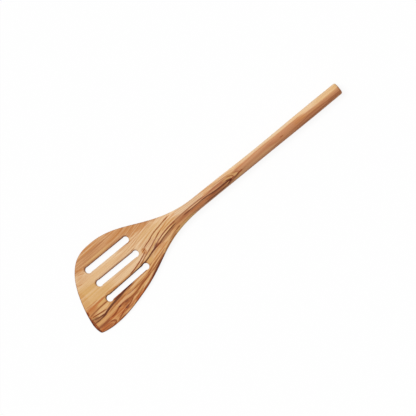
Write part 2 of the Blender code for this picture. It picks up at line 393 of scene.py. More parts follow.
@dataclass(frozen=True)
class SpatulaBody:
    """The whole tool, blade, neck and handle, as one piece of wood.

    It is drawn from the handle's axis and the front-most point, and then moved to axis_x and front_y. The
    spacings are in mm, and no point of a face comes nearer to its edge than face_gap of its spacing.
    """

    axis_x: float
    front_y: float
    turning: Turning
    plan: BladePlan = BladePlan()
    slimming: Slimming = Slimming()
    wear_and_shade: WearAndShade = WearAndShade()
    slots: tuple[SlotCut, ...] = (
        SlotCut(-16.6, -16.6, 26.5, 77.5, 6.1),
        SlotCut(-0.5, -0.5, 26.8, 76.5, 5.7),
        SlotCut(16.5, 14.9, 25.3, 76.6, 5.2),
    )
    edge_steps: int = 10
    outline_spacing: float = 0.65
    slot_spacing: float = 0.5
    face_spacing: float = 1.2
    face_gap: float = 0.6

    def half_width(self, along: np.ndarray) -> np.ndarray:
        """Give half the handle's width.

        Args:
            along: Distance from the front.

        Returns:
            Half of a width that eases from neck to waist, from there to the swell and on to the end.
        """
        turning = self.turning
        waist = turning.length - turning.waist_from_end
        swell = turning.length - turning.swell_from_end
        width = mix(self.plan.neck_width, turning.waist_diameter, ease(along, self.plan.neck, waist))
        width = width + (turning.swell_diameter - turning.waist_diameter) * ease(along, waist, swell)
        width = width + (turning.end_diameter - turning.swell_diameter) * ease(along, swell, turning.length)
        return width / 2.0

    def centre(self, along: np.ndarray) -> np.ndarray:
        """Give how far the middle of neck and handle lies to the right of the axis."""
        waist = self.turning.length - self.turning.waist_from_end
        return mix(self.plan.neck_centre, 0.0, ease(along, self.plan.neck, waist))

    def top(self, x: np.ndarray, along: np.ndarray) -> np.ndarray:
        """Give the height of the upper face.

        Args:
            x: Distance to the right of the axis.
            along: Distance from the front.

        Returns:
            A straight slope over the blade, a smooth rise up the neck and then the handle's height,
            with the slow, shallow waver of a surface sanded by hand.
        """
        slim = self.slimming
        neck = self.plan.neck
        waist = self.turning.length - self.turning.waist_from_end
        slope = slim.front + (slim.root - slim.front) / slim.root_at * along
        blade = mix(slope, slim.neck, ease(along, slim.root_at, neck))
        excess = mix(slim.neck - self.plan.neck_width, 0.0, ease(along, neck, waist))
        height = np.where(along <= neck, blade, 2.0 * self.half_width(along) + excess)
        across, ahead, back, aside = slim.waver_lengths
        waver = np.sin(x / across + along / ahead) * np.sin(along / back - x / aside)
        sanded = ease(along, 0.0, slim.waver_from) * ease(along, *slim.waver_to)
        return height - slim.waver * (1.0 + waver) * sanded

    def edge_angles(self) -> np.ndarray:
        """Give the angles of the edge's profile, from 0 below through 90 on the side, twice, to 180 above."""
        quarter = np.linspace(0.0, math.pi / 2.0, self.edge_steps + 1)
        return np.concatenate((quarter, quarter + math.pi / 2.0))

    def columns(self, points: np.ndarray, inward: np.ndarray, inset: np.ndarray,
                across: np.ndarray, upward: np.ndarray) -> np.ndarray:
        """Carry the edge's profile along a line in plan.

        Args:
            points: Plan points of the line.
            inward: Unit plan vectors that point into the wood.
            inset: How far the ends of the profile are drawn in from table and upper face.
            across: The rounding's radius in plan.
            upward: The rounding's radius in height.

        Returns:
            For each point a column of vertices from the lower face to the upper one: a quarter of an
            ellipse, the plain side and another quarter, sin and cos of an angle from 0 to 180 degrees.
        """
        angle = self.edge_angles()
        drawn_in = across[:, None] * (1.0 - np.sin(angle))
        plan = points[:, None, :] + inward[:, None, :] * drawn_in[..., None]
        lower = inset[:, None] + upward[:, None] * (1.0 - np.cos(angle))
        upper = self.top(plan[..., 0], plan[..., 1]) - inset[:, None] - upward[:, None] * (1.0 + np.cos(angle))
        height = np.where(np.arange(angle.size) <= self.edge_steps, lower, upper)
        return np.concatenate((plan, height[..., None]), axis=-1)

    def rim(self) -> tuple[np.ndarray, int]:
        """Carry the edge round the whole tool, from the handle's end round the front and back to it.

        Returns:
            The columns, and how many of them on either side belong to the handle alone.
        """
        turning = self.turning
        slim = self.slimming
        blade = self.plan.outline(self.outline_spacing)
        straight_end = turning.length - turning.end_rounding - turning.end_crown
        steps = int(round((straight_end - self.plan.neck) / turning.step))
        straight = np.linspace(self.plan.neck, straight_end, steps + 1)[1:]
        turn = np.linspace(0.0, math.pi / 2.0, turning.round_steps + 1)[1:]
        share = np.linspace(0.0, 1.0, turning.face_steps + 1)[1:]
        face_width = turning.end_diameter / 2.0 - turning.end_rounding
        along = np.concatenate((
            straight,
            straight_end + turning.end_rounding * np.sin(turn),
            turning.length - turning.end_crown * (1.0 - share) ** 2,
        ))
        inset = np.concatenate((
            np.zeros(steps),
            turning.end_rounding * (1.0 - np.cos(turn)),
            turning.end_rounding + face_width * slim.round_share * share,
        ))
        reach = self.half_width(along) - inset
        side = np.column_stack((self.centre(along) - reach, along))
        other = np.column_stack((self.centre(along) + reach, along))
        points = np.concatenate((side[::-1], blade, other))
        blade_inward = inward_normals(blade, closed=False)
        right = np.tile((1.0, 0.0), (along.size, 1))
        inward = np.concatenate((right, blade_inward, -right))
        insets = np.concatenate((inset[::-1], np.zeros(len(blade)), inset))
        half = np.abs(points[:, 0] - self.centre(points[:, 1]))
        high = self.top(points[:, 0], points[:, 1]) / 2.0
        rounding = ease(points[:, 1], slim.root_at, self.plan.neck)
        across = mix(slim.edge_rounding, slim.round_share * half, rounding)
        upward = mix(slim.edge_rounding, slim.round_share * (high - insets), rounding)
        return self.columns(points, inward, insets, across, upward), along.size

    def slot_edge(self, slot: SlotCut) -> np.ndarray:
        """Carry the eased edge round one slot.

        Args:
            slot: The slot's sizes.

        Returns:
            The columns of a closed loop. Their rounding grows with the cosine to the shaded side, the side
            towards the lamp whose edges face away from it and are painted darker, and with the product of the
            cosines to front and left, and wavers slowly along the slot.
        """
        wear_and_shade = self.wear_and_shade
        loop = slot.outline(self.slot_spacing)
        inward = inward_normals(loop, closed=True)
        worn = wear_and_shade.easing * (inward @ wear_and_shade.side)
        corner = np.prod(np.clip(-inward, 0.0, 1.0), axis=1)
        waver = wear_and_shade.easing_waver * np.sin(loop[:, 1] / wear_and_shade.easing_waver_length + slot.front_x)
        easing = slot.easing * (1.0 + worn + corner + waver)
        return self.columns(loop, inward, np.zeros(len(loop)), easing, easing)

    def rim_dark(self, rim: np.ndarray) -> np.ndarray:
        """Say how dark the tool's own cut edge shows.

        Args:
            rim: The rim's columns.

        Returns:
            For each column a share, which grows where the edge runs across the front, as darker end grain,
            and towards the right, as painted shade on the edge that faces away from the lamp, and fades out up
            the neck.
        """
        wear_and_shade = self.wear_and_shade
        side = rim[:, self.edge_steps]
        runs_across = np.abs(unit(np.gradient(side[:, :2], axis=0))[:, 0]) ** wear_and_shade.front_power
        front = wear_and_shade.front_dark + wear_and_shade.front_right_dark * ease(side[:, 0], *wear_and_shade.front_right_from)
        dark = wear_and_shade.rim_dark + runs_across * front + wear_and_shade.right_painted_shade * ease(side[:, 0], *wear_and_shade.right_from)
        return dark * ease(side[:, 1], self.plan.neck - wear_and_shade.neck_fade, self.slimming.root_at)

    def slot_dark(self, sides: np.ndarray) -> np.ndarray:
        """Say how dark a slot's cut edge shows.

        Args:
            sides: The slot's columns.

        Returns:
            For each column a share of painted shade, which grows with the cosine to the side towards the lamp,
            where the edge faces away from it.
        """
        inward = unit(sides[:, 0, :2] - sides[:, self.edge_steps, :2])
        least = self.wear_and_shade.slot_dark
        return least + (1.0 - least) * np.clip(inward @ self.wear_and_shade.side, 0.0, 1.0)

    def face_plan(self, loops: list[np.ndarray]) -> tuple[np.ndarray, np.ndarray]:
        """Divide the flat faces, between the rim and the slots, into near equal-sided triangles in plan.

        Args:
            loops: The closed plan loops, the rim's first and then one for each slot.

        Returns:
            The points added inside, and the triangles, which number the loops' points and then those.
        """
        rim = loops[0]
        edge = np.concatenate(loops)
        low, high = rim.min(axis=0), rim.max(axis=0)
        rows = np.arange(low[1], high[1], self.face_spacing * math.sqrt(0.75))
        places = np.arange(low[0], high[0], self.face_spacing)
        x, y = np.meshgrid(places, rows)
        x = x + np.where(np.arange(rows.size) % 2, self.face_spacing / 2.0, 0.0)[:, None]
        inner = np.column_stack((x.ravel(), y.ravel()))
        inner = inner[self.in_wood(inner, loops)]
        gaps = np.array([np.hypot(*(edge - point).T).min() for point in inner])
        inner = inner[gaps > self.face_gap * self.face_spacing]
        bounds = []
        start = 0
        for loop in loops:
            numbers = start + np.arange(len(loop))
            bounds.append(np.column_stack((numbers, np.roll(numbers, -1))))
            start += len(loop)
        points = np.concatenate((edge, inner))
        made = delaunay_2d_cdt(points.tolist(), np.concatenate(bounds).tolist(), [], 0, WELD)
        source = np.array([origin[0] for origin in made[3]])
        triangles = source[np.array(made[2])]
        corners = points[triangles]
        triangles = triangles[self.in_wood(corners.mean(axis=1), loops)]
        corners = points[triangles]
        first, second = corners[:, 1] - corners[:, 0], corners[:, 2] - corners[:, 0]
        backwards = first[:, 0] * second[:, 1] < first[:, 1] * second[:, 0]
        triangles[backwards] = triangles[backwards][:, ::-1]
        return inner, triangles

    def in_wood(self, points: np.ndarray, loops: list[np.ndarray]) -> np.ndarray:
        """Say which plan points lie in the wood.

        Args:
            points: The points asked about.
            loops: The rim's plan loop and then the slots'.

        Returns:
            True for those inside the first loop and outside the others.
        """
        inside = encloses(loops[0], points)
        for loop in loops[1:]:
            inside &= ~encloses(loop, points)
        return inside

    def lay_faces(self, work: Patchwork, rings: list[np.ndarray]) -> None:
        """Close the blade above and below.

        Args:
            work: The mesh so far.
            rings: The numbers of the columns round the blade, and then round each slot.
        """
        vertices = np.concatenate(work.points)
        inner, triangles = self.face_plan([vertices[ring[:, -1], :2] for ring in rings])
        upper = work.add(np.column_stack((inner, self.top(inner[:, 0], inner[:, 1]))))
        lower = work.add(np.column_stack((inner, np.zeros(len(inner)))))
        above = np.concatenate([ring[:, -1] for ring in rings] + [upper])
        below = np.concatenate([ring[:, 0] for ring in rings] + [lower])
        work.join(above[triangles])
        work.join(below[triangles[:, ::-1]])

    def close_handle(self, work: Patchwork, rim: np.ndarray, handle: int) -> None:
        """Join the two sides of the handle above and below, and close its end.

        Args:
            work: The mesh so far.
            rim: The numbers of the rim's columns.
            handle: How many of them on either side belong to the handle alone.
        """
        left = rim[:handle + 1]
        right = rim[::-1][:handle + 1]
        work.grid(np.column_stack((left[:, -1], right[:, -1])))
        work.grid(np.column_stack((right[:, 0], left[:, 0])))
        work.join(np.concatenate((left[0], right[0][::-1]))[None, :])

    def build(self) -> bpy.types.Object:
        """Make the piece of wood.

        Returns:
            The object, at the origin, with its place in its mesh.
        """
        work = Patchwork()
        rim, handle = self.rim()
        # The cut edges' darkness is stored per vertex: painted shade on edges that face away from the lamp, and
        # darker end grain across the front.
        turned = np.sin(self.edge_angles())
        edges = [work.add(rim, self.rim_dark(rim)[:, None] * turned)]
        work.grid(edges[0])
        for slot in self.slots:
            sides = self.slot_edge(slot)
            dark = self.slot_dark(sides)[:, None] * np.maximum(turned, self.wear_and_shade.slot_face)
            edges.append(work.add(sides, dark))
            work.grid(np.concatenate((edges[-1], edges[-1][:1])))
        self.lay_faces(work, [edges[0][handle:-handle]] + edges[1:])
        self.close_handle(work, edges[0], handle)
        for points in work.points:
            points += (self.axis_x, self.front_y, 0.0)
        piece = bpy.data.objects.new("spatula_wood", work.mesh("spatula_wood"))
        bpy.context.scene.collection.objects.link(piece)
        return piece


class Signal:
    """A number that varies over the surface, read from a shader node's output."""

    def __init__(self, graph: "Graph", socket: bpy.types.NodeSocket) -> None:
        """Hold the output and the graph it belongs to."""
        self.graph = graph
        self.socket = socket

    def maths(self, operation: str, *values: "Signal | float") -> "Signal":
        """Add a Math node over these values."""
        return self.graph.node("ShaderNodeMath", {"operation": operation}, dict(enumerate(values)))

    def __add__(self, other: "Signal | float") -> "Signal":
        """Add."""
        return self.maths("ADD", self, other)

    def __sub__(self, other: "Signal | float") -> "Signal":
        """Subtract."""
        return self.maths("SUBTRACT", self, other)

    def __rsub__(self, other: float) -> "Signal":
        """Subtract from a plain number."""
        return self.maths("SUBTRACT", other, self)

    def __mul__(self, other: "Signal | float") -> "Signal":
        """Multiply."""
        return self.maths("MULTIPLY", self, other)

    def __truediv__(self, other: "Signal | float") -> "Signal":
        """Divide."""
        return self.maths("DIVIDE", self, other)

    def __rtruediv__(self, other: float) -> "Signal":
        """Divide a plain number by this one."""
        return self.maths("DIVIDE", other, self)

    def __pow__(self, power: float) -> "Signal":
        """Raise to a power."""
        return self.maths("POWER", self, power)

    def __abs__(self) -> "Signal":
        """Give the size without the sign."""
        return self.maths("ABSOLUTE", self)

    __radd__ = __add__
    __rmul__ = __mul__

    def at_least(self, other: "Signal | float") -> "Signal":
        """Give the greater of the two."""
        return self.maths("MAXIMUM", self, other)

    def step(self, start: "Signal | float", end: "Signal | float") -> "Signal":
        """Give a smooth step from 0 at start to 1 at end, level beyond them, rising or falling."""
        settings = {"interpolation_type": "SMOOTHSTEP", "clamp": False}
        values = {"Value": self, "From Min": start, "From Max": end}
        return self.graph.node("ShaderNodeMapRange", settings, values)


class Graph:
    """A material's or world's node tree that is written as expressions."""

    def __init__(self, tree: bpy.types.NodeTree) -> None:
        """Start from an empty tree."""
        self.tree = tree
        tree.nodes.clear()

    def node(self, kind: str, settings: dict[str, object] | None = None,
             inputs: dict[int | str, object] | None = None, output: int | str = 0) -> Signal:
        """Add a node.

        Args:
            kind: The node's type.
            settings: Its properties; "stops" are a ramp's positions and colours, "points" a curve's.
            inputs: Values or signals for its sockets, by name or number.
            output: The output that is wanted, by name or number.

        Returns:
            The output as a signal.
        """
        node = self.tree.nodes.new(kind)
        for name, value in (settings or {}).items():
            if name == "stops":
                elements = node.color_ramp.elements
                for position, colour in value[1:-1]:
                    elements.new(position).color = colour
                elements[0].position, elements[0].color = value[0]
                elements[-1].position, elements[-1].color = value[-1]
            elif name == "points":
                points = node.mapping.curves[0].points
                points[0].location, points[1].location = value[0], value[-1]
                for place in value[1:-1]:
                    points.new(*place)
                node.mapping.extend = "HORIZONTAL"
                node.mapping.update()
            else:
                setattr(node, name, value)
        for name, value in (inputs or {}).items():
            if isinstance(value, Signal):
                self.tree.links.new(value.socket, node.inputs[name])
            else:
                node.inputs[name].default_value = value
        return Signal(self, node.outputs[output])

    def close(self, kind: str, surface: Signal) -> None:
        """Lead a shader to the tree's output, a node of this type."""
        self.tree.links.new(surface.socket, self.tree.nodes.new(kind).inputs["Surface"])

    def parts(self, vector: Signal) -> tuple[Signal, ...]:
        """Split a vector into its three numbers."""
        first = self.node("ShaderNodeSeparateXYZ", None, {0: vector})
        return tuple(Signal(self, socket) for socket in first.socket.node.outputs)

    def clouds(self, place: tuple[Signal, Signal, Signal], scales: Scales, detail: float = 2.0) -> Signal:
        """Give cloudy noise.

        Args:
            place: The three numbers that say where it is read.
            scales: About how many clouds go to the unit of each of them.
            detail: How many finer layers are laid over the clouds.

        Returns:
            A number from 0 to 1, with 0.5 in the middle.
        """
        scaled = {number: part * scale for number, (part, scale) in enumerate(zip(place, scales))}
        spot = self.node("ShaderNodeCombineXYZ", None, scaled)
        return self.node("ShaderNodeTexNoise", None, {"Vector": spot, "Scale": 1.0, "Detail": detail})

    def curve(self, share: Signal, points: Points) -> Signal:
        """Read a smooth curve through points, drawn on a sheet REACH long and SPREAD to either side.

        Args:
            share: Where to read it, as a share of REACH.
            points: Pairs of place and height in mm, with the places in rising order.

        Returns:
            The height as a share of the sheet's width, level beyond the first and last points.
        """
        drawn = [(place / REACH, 0.5 + height / (2.0 * SPREAD)) for place, height in points]
        return self.node("ShaderNodeFloatCurve", {"points": drawn}, {"Factor": 1.0, "Value": share})

    def ramp(self, share: Signal, tones: tuple[Colour, ...]) -> Signal:
        """Read a colour between tones that stand evenly spaced from 0 to 1."""
        stops = [(number / (len(tones) - 1), tone) for number, tone in enumerate(tones)]
        return self.node("ShaderNodeValToRGB", {"stops": stops}, {"Fac": share})

    def colour(self, first: object, second: object, share: Signal | float, blend: str = "MIX") -> Signal:
        """Blend two colours.

        Args:
            first: The colour below, plain or a signal.
            second: The colour laid over it.
            share: How much of the second is laid on.
            blend: The way it is laid on.

        Returns:
            The blended colour.
        """
        settings = {"data_type": "RGBA", "blend_type": blend}
        return self.node("ShaderNodeMix", settings, {0: share, 6: first, 7: second}, output=2)


def shared_formula(name: str, words: tuple[str, ...], formula: Callable[..., Signal]) -> bpy.types.NodeTree:
    """Make a node group that works out one number from others.

    Args:
        name: The group's name.
        words: The names of the numbers it takes.
        formula: Takes those numbers in order and gives the result.

    Returns:
        The group.
    """
    tree = bpy.data.node_groups.new(name, "ShaderNodeTree")
    for word in words:
        tree.interface.new_socket(word, in_out="INPUT", socket_type="NodeSocketFloat")
    tree.interface.new_socket("Shown", in_out="OUTPUT", socket_type="NodeSocketFloat")
    graph = Graph(tree)
    given = tree.nodes.new("NodeGroupInput").outputs
    result = formula(*(Signal(graph, socket) for socket in given[:len(words)]))
    tree.links.new(result.socket, tree.nodes.new("NodeGroupOutput").inputs[0])
    return tree


def weigh(patterns: tuple[Signal, ...], weights: tuple[float, ...]) -> Signal:
    """Add up how far patterns depart from their middle of 0.5.

    Args:
        patterns: The patterns, from 0 to 1.
        weights: What each departure is multiplied by.

    Returns:
        The sum.
    """
    total = (patterns[0] - 0.5) * weights[0]
    for pattern, weight in zip(patterns[1:], weights[1:]):
        total = total + (pattern - 0.5) * weight
    return total


def srgb(red: float, green: float, blue: float) -> Colour:
    """Turn a colour as seen on a screen into the linear one that a shader takes.

    Args:
        red: How red it is, from 0 to 255.
        green: How green it is.
        blue: How blue it is.

    Returns:
        The three parts from 0 to 1, and full cover.
    """
    seen = np.array((red, green, blue)) / 255.0
    linear = np.where(seen <= 0.04045, seen / 12.92, ((seen + 0.055) / 1.055) ** 2.4)
    return (*(float(part) for part in linear), 1.0)


class Vein(Enum):
    """The colours that veins take in the wood."""

    IVORY = srgb(222, 191, 154)
    CREAM = srgb(228, 188, 138)
    GOLD = srgb(213, 166, 103)
    HONEY = srgb(190, 120, 54)
    EMBER = srgb(180, 94, 40)
    RUSSET = srgb(138, 61, 15)
    PLUM = srgb(108, 48, 30)
    DARK = srgb(88, 28, 4)


IVORY, CREAM, GOLD, HONEY, EMBER, RUSSET, PLUM, DARK = Vein


@dataclass(frozen=True)
class Streak:
    """A vein that runs along the grain.

    Its path gives distances to the right of the axis and from the front, from the back forwards. Its depth
    is how strongly it shows, and its ends fade in and out over the taper. All lengths are in mm.
    """

    vein: Vein
    width: float
    depth: float
    path: Points
    taper: float = 8.0


@dataclass(frozen=True)
class Patch:
    """A patch of other colour with soft edges, in mm, turned anticlockwise by so many degrees from above."""

    vein: Vein
    x: float
    y: float
    half_width: float
    half_length: float
    depth: float
    turn: float = 0.0


@dataclass(frozen=True)
class Arch:
    """A vein that turns back on itself where a ring is cut across, in mm, with its crown towards the end.

    Its arms run forwards for the reach, and they part the less, the greater the bend, which is per mm.
    """

    vein: Vein
    x: float
    y: float
    bend: float
    reach: float
    width: float
    depth: float


STREAKS = (
    # The heart line, down the middle of handle and neck and on past the right of the middle slot.
    Streak(DARK, 1.2, 0.95, ((2.0, 187), (1.4, 181), (1.2, 172), (0.8, 165), (0.1, 158), (-0.1, 152))),
    Streak(DARK, 1.1, 0.7, ((-0.1, 158), (0.0, 150), (0.1, 140), (0.2, 131))),
    Streak(RUSSET, 1.5, 0.5, ((0.0, 136), (0.4, 128), (1.3, 120), (1.8, 116), (2.4, 112))),
    Streak(DARK, 1.3, 0.7, ((1.2, 121), (1.8, 116), (2.4, 112), (3.2, 108), (4.1, 104), (5.0, 101),
        (5.6, 99.2), (6.2, 97.5), (6.5, 95.5))),
    Streak(RUSSET, 1.6, 0.9, ((5.4, 100.5), (6.0, 98), (6.5, 95), (7.0, 91.5), (7.9, 87.2), (8.8, 84))),
    Streak(DARK, 1.5, 0.9, ((6.6, 93.5), (7.1, 91), (7.9, 87.2), (9.1, 83), (10.2, 79.5), (11.2, 75),
        (11.7, 71), (12.1, 67))),
    Streak(DARK, 1.3, 0.75, ((11.6, 73), (12.2, 67), (12.6, 60))),
    Streak(DARK, 1.2, 0.5, ((12.6, 60), (12.9, 50), (13.3, 40), (13.5, 28))),
    Streak(RUSSET, 1.1, 0.75, ((-1.8, 157), (-2.0, 150), (-2.1, 140), (-2.0, 132), (-1.6, 125), (-1.0, 119))),
    Streak(CREAM, 0.8, 0.5, ((-1.0, 152), (-1.1, 144), (-1.1, 136))),
    Streak(RUSSET, 1.3, 1.0, ((-1.2, 122), (-0.7, 116), (-0.2, 112), (0.6, 108), (1.5, 104), (2.4, 101),
        (3.0, 99.2), (3.6, 97.6), (4.1, 96), (4.8, 94.6), (5.7, 93), (6.6, 91.4)), 4.0),
    Streak(CREAM, 1.0, 0.7, ((0.4, 116), (1.0, 112), (1.6, 109), (2.6, 105), (3.5, 101.5))),
    Streak(PLUM, 2.0, 0.6, ((4.8, 95.2), (5.4, 93.4), (6.2, 91.2), (7.0, 89)), 3.0),
    Streak(RUSSET, 4.6, 0.45, ((0.0, 139), (0.2, 130), (0.6, 118)), 8.0),
    Streak(RUSSET, 1.8, 0.5, ((2.9, 118), (3.7, 113), (4.8, 108), (5.6, 104), (6.3, 100), (6.8, 96))),
    Streak(RUSSET, 0.9, 0.45, ((5.2, 112), (6.1, 107), (6.8, 103), (7.4, 99))),
    # The finer veins to its left.
    Streak(HONEY, 1.4, 0.7, ((-8.6, 120), (-8.4, 116), (-8.0, 112)), 4.0),
    Streak(RUSSET, 1.2, 0.68, ((-8.4, 118), (-8.0, 114), (-7.3, 110), (-6.4, 106), (-5.6, 101), (-4.2, 96),
        (-2.4, 92), (-1.7, 90), (-1.2, 88), (-0.5, 85.8), (0.1, 84), (0.7, 82.6), (1.5, 81.2)), 4.0),
    Streak(RUSSET, 1.2, 0.95, ((-4.1, 96), (-2.4, 92), (-1.7, 90), (-1.2, 88), (-0.5, 85.8), (0.1, 84),
        (0.7, 82.6))),
    Streak(HONEY, 0.9, 0.7, ((-6.9, 126), (-6.2, 117), (-5.4, 111))),
    Streak(HONEY, 1.5, 0.7, ((-5.2, 114), (-4.0, 109), (-3.0, 105), (-1.6, 101), (-0.4, 97.5))),
    Streak(HONEY, 0.9, 0.7, ((-4.0, 124), (-3.4, 117), (-2.4, 110), (-1.4, 105))),
    Streak(RUSSET, 1.2, 0.8, ((-2.8, 105), (-1.6, 101.5), (-0.6, 99.2), (0.0, 97.5), (0.9, 95), (1.6, 93.2),
        (2.3, 91.8), (3.0, 90.2), (3.7, 88.6), (4.3, 87.2), (4.9, 85.8), (5.5, 84), (6.2, 82), (6.9, 79.8),
        (7.7, 77.5), (8.8, 75), (10.4, 70))),
    Streak(RUSSET, 1.2, 0.95, ((3.4, 81.6), (4.2, 80.2), (4.9, 78.8), (5.5, 77.2), (6.3, 75), (7.9, 71.3),
        (8.9, 68), (9.8, 64.5), (10.6, 61), (11.4, 57)), 4.0),
    Streak(HONEY, 0.9, 0.45, ((-0.8, 95), (0.5, 91), (1.6, 88), (2.6, 85))),
    Streak(HONEY, 0.8, 0.5, ((6.6, 76), (7.6, 71), (8.2, 66))),
    Streak(HONEY, 0.9, 0.6, ((-5.6, 77), (-5.3, 71))),
    Streak(HONEY, 1.4, 0.7, ((11.8, 42), (11.3, 35), (10.8, 28))),
    Streak(GOLD, 1.3, 0.8, ((1.4, 99.5), (2.0, 96.8), (2.7, 94.6), (3.5, 92.5), (4.5, 90.2), (5.5, 88.6),
        (6.5, 86), (7.3, 83.5), (8.0, 81))),
    Streak(CREAM, 1.2, 0.7, ((8.4, 81.5), (9.0, 79), (9.8, 76.5), (10.4, 74)), 4.0),
    Streak(CREAM, 1.1, 0.5, ((-5.0, 106), (-4.2, 102), (-2.6, 97), (-1.2, 92), (0.4, 87))),
    Streak(HONEY, 0.7, 0.4, ((-5.0, 172), (-5.2, 152), (-5.8, 138), (-7.2, 127), (-8.2, 118))),
    Streak(HONEY, 0.7, 0.4, ((-4.0, 174), (-4.1, 152), (-4.7, 138), (-5.8, 127), (-6.6, 118))),
    Streak(HONEY, 0.6, 0.35, ((-3.0, 164), (-3.1, 150), (-3.5, 138), (-4.3, 127), (-4.9, 118))),
    Streak(HONEY, 0.8, 0.4, ((-3.6, 194), (-4.2, 187), (-4.6, 176), (-4.4, 166))),
    Streak(HONEY, 1.0, 0.35, ((-10.8, 106), (-9.8, 98), (-8.6, 90), (-7.8, 82), (-7.4, 74))),
    Streak(HONEY, 0.8, 0.4, ((-8.2, 100), (-6.6, 92), (-5.2, 85), (-4.6, 79))),
    # The heartwood to its right, down to the outer edge.
    Streak(RUSSET, 1.2, 0.8, ((5.3, 123), (5.8, 120), (6.6, 117)), 3.0),
    # A golden band on the neck's right flank: golden wood, and partly painted light that lifts the flank facing
    # away from the lamp.
    Streak(GOLD, 2.6, 0.8, ((6.2, 142), (6.6, 130), (7.4, 123), (8.8, 116)), 8.0),
    Streak(RUSSET, 1.1, 0.5, ((6.0, 119), (7.0, 115), (8.2, 111), (9.4, 107))),
    Streak(HONEY, 1.6, 0.5, ((7.4, 98), (8.5, 94), (9.8, 90), (11.6, 86))),
    Streak(HONEY, 1.2, 0.8, ((9.2, 105), (10.2, 101), (11.3, 97), (12.3, 93), (13.3, 89), (14.4, 85.5),
        (15.6, 82))),
    Streak(RUSSET, 1.2, 0.65, ((12.6, 98), (14.0, 94.5), (15.3, 90.5), (16.4, 86.5), (17.6, 82.5),
        (18.7, 78.5), (20.1, 74.5), (21.5, 70))),
    Streak(RUSSET, 1.2, 0.65, ((9.0, 115), (9.9, 111), (11.3, 107), (12.8, 103), (14.2, 99.5), (15.8, 96))),
    # This vein and the next run along the right edge: dark wood, and partly painted shade on the edge that
    # faces away from the lamp.
    Streak(RUSSET, 3.2, 1.0, ((16.4, 95), (17.3, 93), (19.0, 89.5), (20.6, 86), (22.2, 82.5), (24.3, 78),
        (26.8, 72), (29.3, 65.5), (30.9, 60), (31.8, 57))),
    Streak(DARK, 1.9, 0.8, ((18.2, 89.5), (19.3, 87.5), (21.3, 83.5), (23.2, 79.5), (25.7, 74.5),
        (27.0, 71.5))),
    Streak(RUSSET, 1.2, 0.75, ((16.2, 94.5), (17.6, 90), (18.9, 86), (20.2, 81.5), (21.5, 77), (22.6, 73))),
    Streak(RUSSET, 1.6, 0.85, ((22.0, 74), (23.6, 67.5), (25.0, 60.5), (26.6, 55.5), (27.8, 50), (28.1, 45),
        (27.9, 40), (27.9, 35), (28.5, 30), (30.0, 26), (31.1, 22), (31.2, 18))),
    Streak(RUSSET, 1.0, 0.6, ((22.6, 66), (23.4, 60), (23.9, 54), (24.3, 48), (24.2, 42))),
    Streak(CREAM, 1.6, 0.7, ((22.4, 80), (24.3, 74.5), (26.0, 69), (27.6, 63.5), (28.8, 59))),
    Streak(CREAM, 1.6, 0.7, ((19.0, 71), (19.6, 66), (20.2, 60), (21.2, 54), (22.0, 48))),
    Streak(RUSSET, 1.2, 0.5, ((19.2, 56), (19.9, 50), (20.9, 45))),
    Streak(CREAM, 0.8, 0.5, ((16.3, 90), (17.6, 86), (18.9, 82), (20.2, 78))),
    Streak(RUSSET, 1.0, 0.55, ((27.4, 61), (29.2, 57), (30.6, 53), (31.8, 49.5), (33.2, 46))),
    # This vein and the next run along the right edge: dark wood, and partly painted shade on the edge that
    # faces away from the lamp.
    Streak(EMBER, 3.0, 1.0, ((30.9, 62), (32.0, 56), (33.0, 51.5), (34.2, 46)), 6.0),
    Streak(RUSSET, 1.8, 0.9, ((32.8, 56), (33.8, 51.5), (35.0, 46.5), (35.6, 43)), 4.0),
    Streak(CREAM, 2.0, 0.8, ((24.6, 52), (25.2, 45), (25.8, 38), (26.4, 31), (27.4, 26), (28.4, 20),
        (29.0, 14), (29.0, 4))),
    Streak(GOLD, 3.4, 0.7, ((27.0, 30), (27.9, 25), (28.8, 19), (29.0, 12), (28.9, 2))),
    Streak(RUSSET, 1.2, 0.55, ((23.8, 35), (24.5, 29), (25.3, 24), (26.6, 19.5))),
    Streak(CREAM, 1.2, 0.7, ((35.9, 38), (36.3, 35), (37.0, 31), (37.6, 28)), 4.0),
    Streak(CREAM, 0.9, 0.6, ((29.8, 51), (31.2, 46), (32.8, 41.5), (33.8, 38))),
    Streak(RUSSET, 1.4, 0.95, ((29.2, 47), (31.0, 43), (32.2, 39.5), (32.8, 36), (32.9, 33))),
    Streak(RUSSET, 1.0, 0.7, ((28.8, 54), (29.0, 47), (29.4, 40), (29.8, 35))),
    Streak(RUSSET, 1.2, 0.6, ((33.8, 44), (34.6, 40), (34.6, 36), (35.4, 31))),
    Streak(RUSSET, 1.4, 0.95, ((33.4, 33), (34.5, 30), (35.7, 27), (36.7, 24.5), (38.2, 21))),
    Streak(DARK, 2.1, 1.0, ((18.3, 55), (18.8, 48.5), (19.8, 42.5), (20.9, 37), (21.4, 33), (22.0, 29),
        (22.7, 25), (23.5, 21.5), (24.6, 18), (25.6, 15), (26.2, 11))),
    Streak(DARK, 1.3, 0.75, ((25.8, 15), (26.5, 9), (26.3, 2))),
    Streak(DARK, 1.2, 0.8, ((24.8, 17), (24.4, 11), (23.5, 6), (22.6, 2))),
    Streak(PLUM, 2.8, 0.45, ((25.2, 17), (25.3, 10), (25.0, 2))),
    Streak(PLUM, 1.2, 0.5, ((30.4, 18), (31.2, 13), (31.5, 7), (31.2, 1.5))),
    Streak(PLUM, 1.2, 0.4, ((33.8, 16), (33.6, 10), (33.2, 3))),
    Streak(RUSSET, 1.0, 0.6, ((36.4, 15), (36.0, 10), (35.2, 5))),
    # In front of the right slot.
    Streak(EMBER, 1.9, 0.8, ((12.1, 26), (12.5, 20), (12.9, 14), (13.3, 9), (13.8, 3))),
    Streak(CREAM, 1.3, 0.4, ((14.4, 26), (14.8, 18), (15.4, 10))),
    Streak(RUSSET, 1.4, 0.9, ((16.9, 26), (17.1, 20), (17.4, 15), (17.9, 10), (18.6, 2))),
